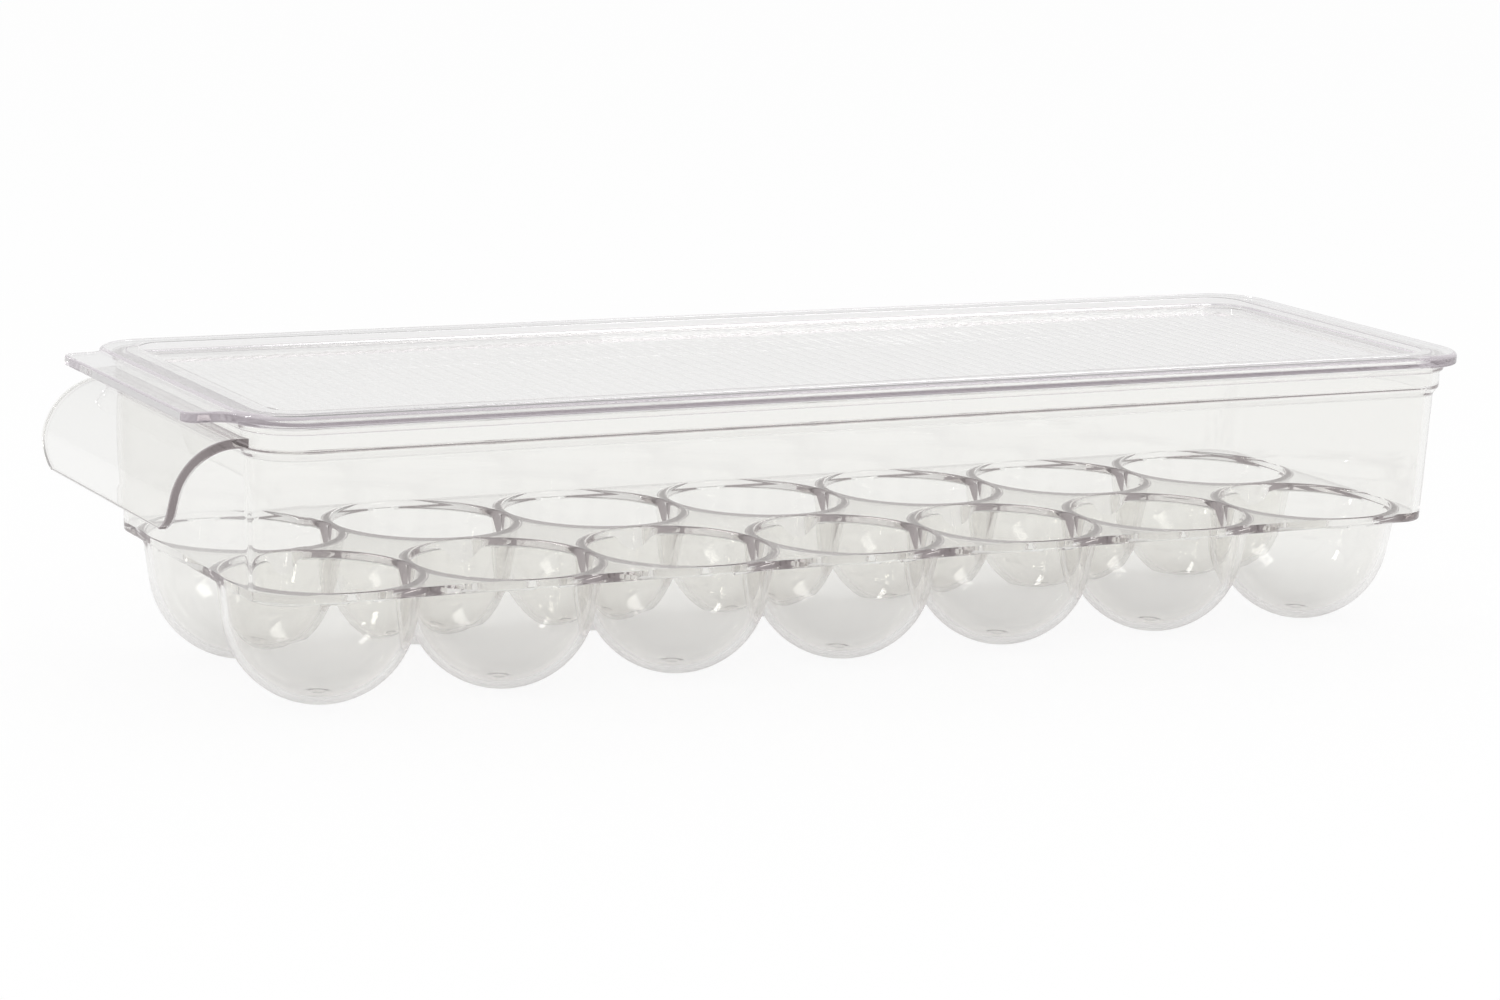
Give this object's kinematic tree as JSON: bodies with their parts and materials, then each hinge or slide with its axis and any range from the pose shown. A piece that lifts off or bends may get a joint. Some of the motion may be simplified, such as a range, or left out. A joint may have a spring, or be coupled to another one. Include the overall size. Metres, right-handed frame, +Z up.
{
  "type": "egg holder tray",
  "caption": "Clear plastic fridge egg bin: a tub whose floor is rows of round-bottomed egg cups, with a curled pull handle at one end and a flat ribbed lid that lifts straight off.",
  "frame": {"origin": "middle of the whole object's footprint, at the height of the flats that the cups stand on", "axes": "+X from the handle end to the plain end, +Y from the near long side to the far one, +Z up"},
  "size_m": [0.3614, 0.1102, 0.075],
  "materials": {
    "tray_plastic": "clear rigid plastic with a polished surface and a faint warm grey tint where it is seen edge on",
    "lid_plastic": "clear rigid plastic with a polished surface, finely ribbed across the panel"
  },
  "bodies": {
    "tray": {"tray": "tray_plastic"},
    "lid": {"lid": "lid_plastic"}
  },
  "joints": [
    {"name": "lid_lift", "type": "slide", "parent": "tray", "child": "lid", "axis": [0, 0, 1], "range_m": [0, 0.06]}
  ]
}
